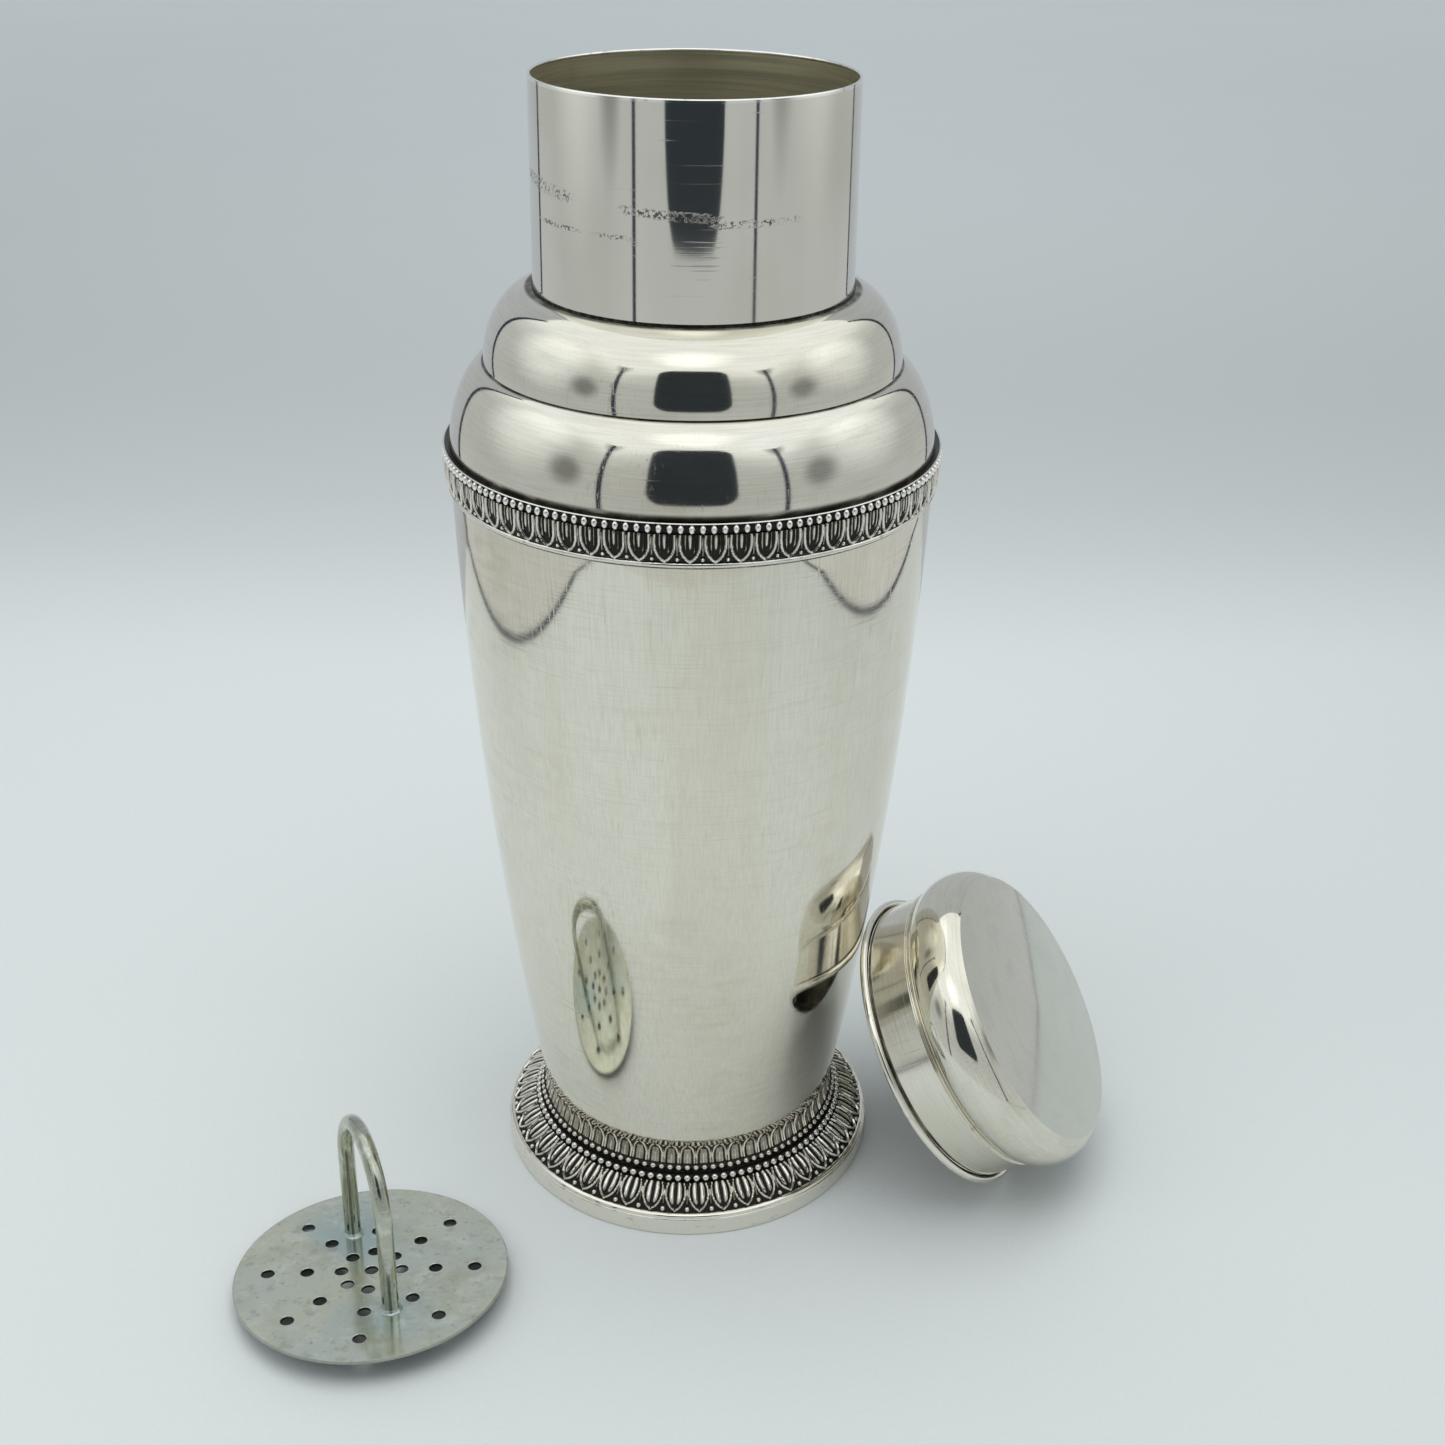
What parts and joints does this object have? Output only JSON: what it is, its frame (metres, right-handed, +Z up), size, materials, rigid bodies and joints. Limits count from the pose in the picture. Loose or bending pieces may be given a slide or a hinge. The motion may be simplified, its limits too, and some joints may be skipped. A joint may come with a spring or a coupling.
{
  "type": "cocktail shaker set",
  "caption": "Footed, tapered silver-plated cocktail shaker with double-bulge shoulder and ornamental bands, with its push-on cap and lift-out strainer with bail laid out beside it.",
  "frame": {"origin": "centre of the underside of the shaker's foot", "axes": "+Z up along the shaker's axis; -Y towards the front, where the strainer lies; +X towards the side where the cap leans"},
  "size_m": [0.1974, 0.1395, 0.246],
  "materials": {
    "silver": "polished silver plate with fine wear",
    "bright_silver": "bright rubbed edge of silver plate",
    "worked_silver": "silver plate with dark oxide in the recesses",
    "solder_dark": "tarnished solder seam",
    "tinned": "satin nickel plate with pale yellow-green tarnish"
  },
  "bodies": {
    "shaker": {"base_plate": "silver", "foot_rim": "bright_silver", "foot_skirt": "silver", "foot_leaf_ring": "worked_silver", "foot_large_beads": "worked_silver", "foot_small_beads": "worked_silver", "foot_leaf_collar": "worked_silver", "body_shell": "silver", "band_fillet_wire": "bright_silver", "band_leaf_strip": "worked_silver", "band_beads": "worked_silver", "band_top_wire": "bright_silver", "lower_shoulder": "silver", "upper_shoulder": "silver", "neck_seam": "solder_dark", "neck_tube": "silver", "neck_lip": "bright_silver", "strainer_seat": "silver"},
    "cap": {"cap_rim": "bright_silver", "cap_collar": "silver", "cap_crease_wire": "bright_silver", "cap_bulge": "silver", "cap_top": "silver"},
    "strainer": {"strainer_disc": "tinned", "strainer_bail": "tinned", "far_solder": "tinned", "near_solder": "tinned"}
  },
  "joints": [
    {"name": "cap_lift", "type": "slide", "parent": "shaker", "child": "cap", "axis": [0.7862, -0.2404, 0.5693], "range_m": [0, 0.12]},
    {"name": "strainer_lift", "type": "slide", "parent": "shaker", "child": "strainer", "axis": [0, 0, 1], "range_m": [0, 0.12]}
  ]
}
